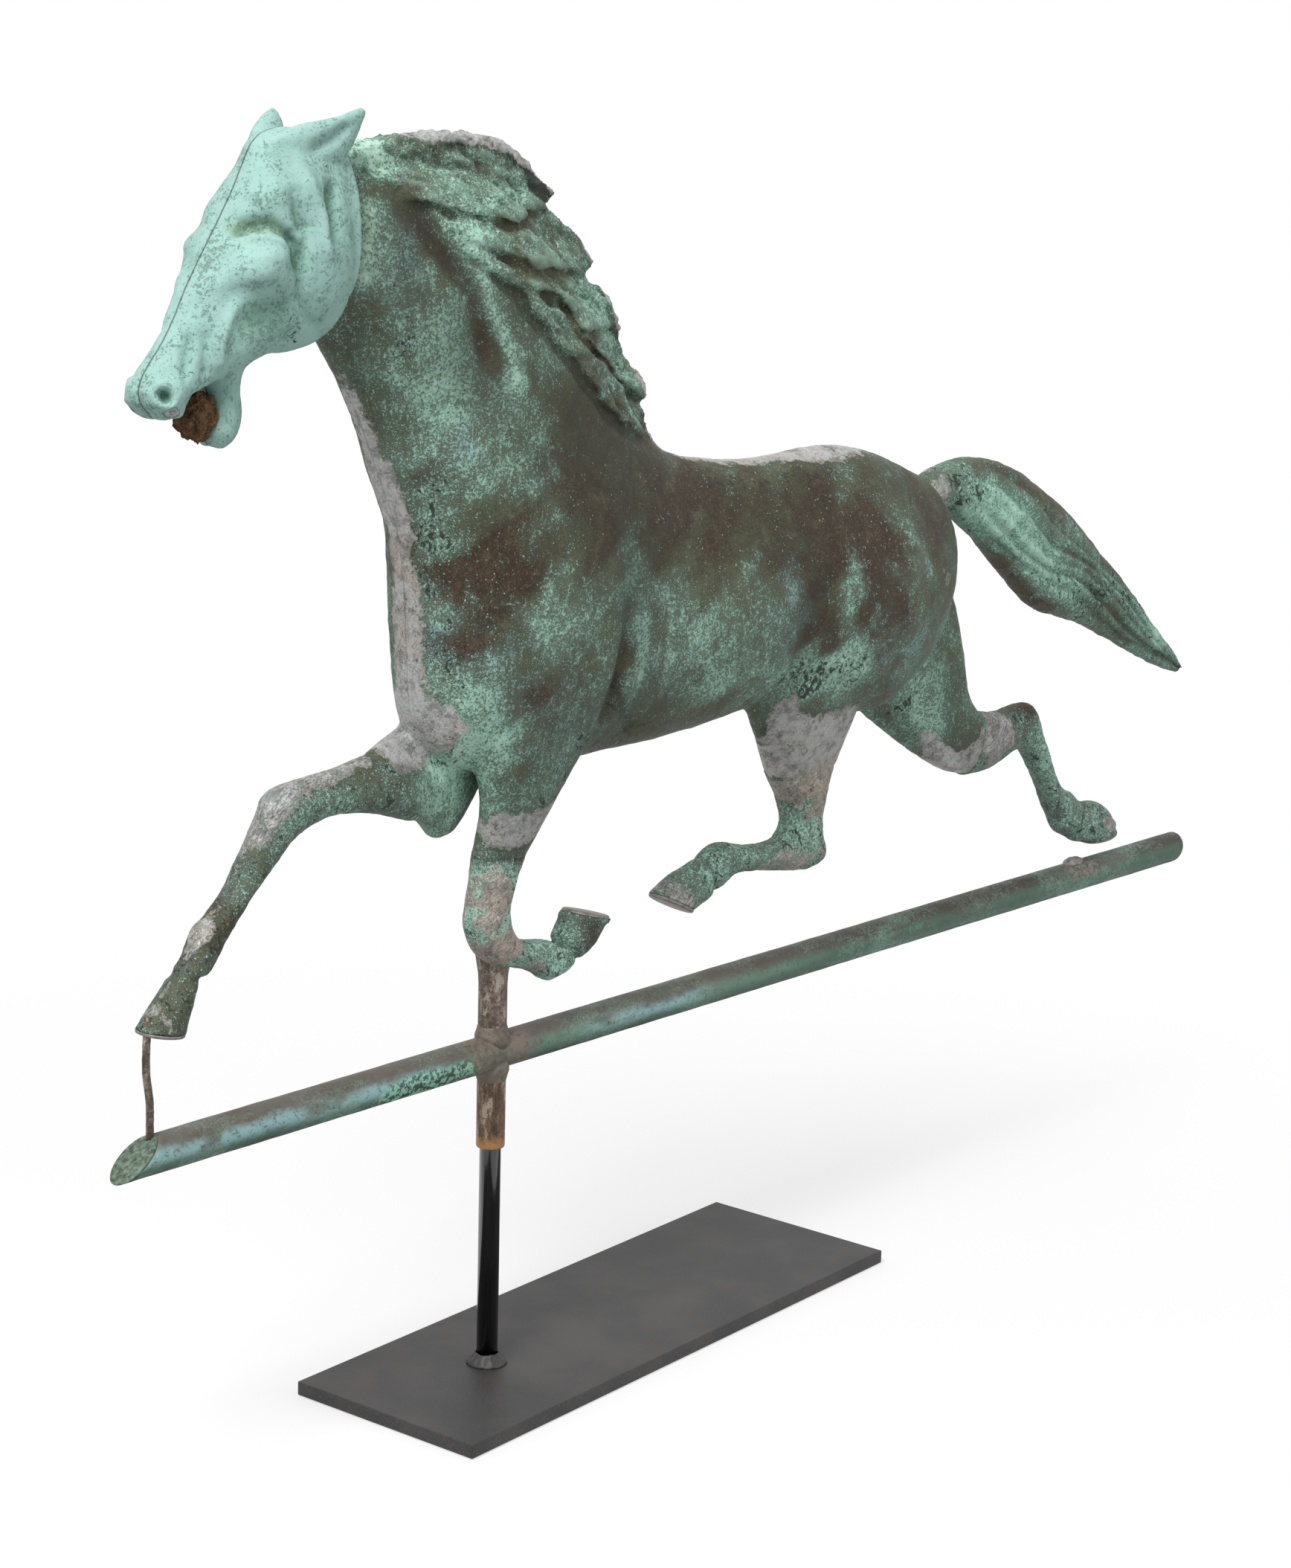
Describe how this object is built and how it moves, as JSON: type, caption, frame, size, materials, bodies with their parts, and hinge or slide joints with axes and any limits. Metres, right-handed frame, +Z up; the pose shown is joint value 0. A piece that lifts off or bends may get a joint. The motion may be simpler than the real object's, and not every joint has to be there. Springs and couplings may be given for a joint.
{
  "type": "horse weathervane",
  "caption": "Full-bodied trotting horse weathervane of patinated sheet copper on a pointed cross bar, with a tube mast that turns on a round rod standing on a flat steel base plate.",
  "frame": {"origin": "on the underside of the base plate, below the axis of the rod on which the mast turns", "axes": "+Z up along the rod; the cross bar lies along X at rest, its pointed front end and the horse's head toward -X; the horse's left side faces -Y"},
  "size_m": [0.7499, 0.1203, 0.5576],
  "materials": {
    "verdigris_copper": "weathered, mottled green and brown patina",
    "pale_verdigris": "weathered, pale even verdigris",
    "brown_metal": "dark brown patina with green",
    "grey_solder": "dull filed solder",
    "earth_nest": "rough dry earth",
    "black_rod": "gloss black",
    "charcoal_plate": "satin charcoal"
  },
  "bodies": {
    "stand": {"base_plate": "charcoal_plate", "rod_weld": "charcoal_plate", "stand_rod": "black_rod"},
    "vane": {"body_left_shell": "verdigris_copper", "body_right_shell": "verdigris_copper", "head_left_shell": "pale_verdigris", "head_right_shell": "pale_verdigris", "mouth_lump": "earth_nest", "tail_left_shell": "verdigris_copper", "tail_right_shell": "verdigris_copper", "mast_tube": "brown_metal", "mast_plug": "brown_metal", "near_fore_leg_left_shell": "verdigris_copper", "near_fore_leg_right_shell": "verdigris_copper", "near_fore_sole": "grey_solder", "near_hind_leg_left_shell": "verdigris_copper", "near_hind_leg_right_shell": "verdigris_copper", "near_hind_sole": "grey_solder", "far_fore_leg_left_shell": "verdigris_copper", "far_fore_leg_right_shell": "verdigris_copper", "far_fore_sole": "grey_solder", "far_hind_leg_left_shell": "verdigris_copper", "far_hind_leg_right_shell": "verdigris_copper", "far_hind_sole": "grey_solder", "cross_bar": "brown_metal", "bar_front_cap": "brown_metal", "bar_rear_cap": "brown_metal", "crossing_solder_upper": "grey_solder", "crossing_solder_lower": "grey_solder", "front_strut": "brown_metal", "rear_strut_stub": "grey_solder"}
  },
  "joints": [
    {"name": "vane_spin", "type": "hinge", "parent": "stand", "child": "vane", "pos_m": [0, 0, 0.15], "axis": [0, 0, 1], "continuous": true}
  ]
}
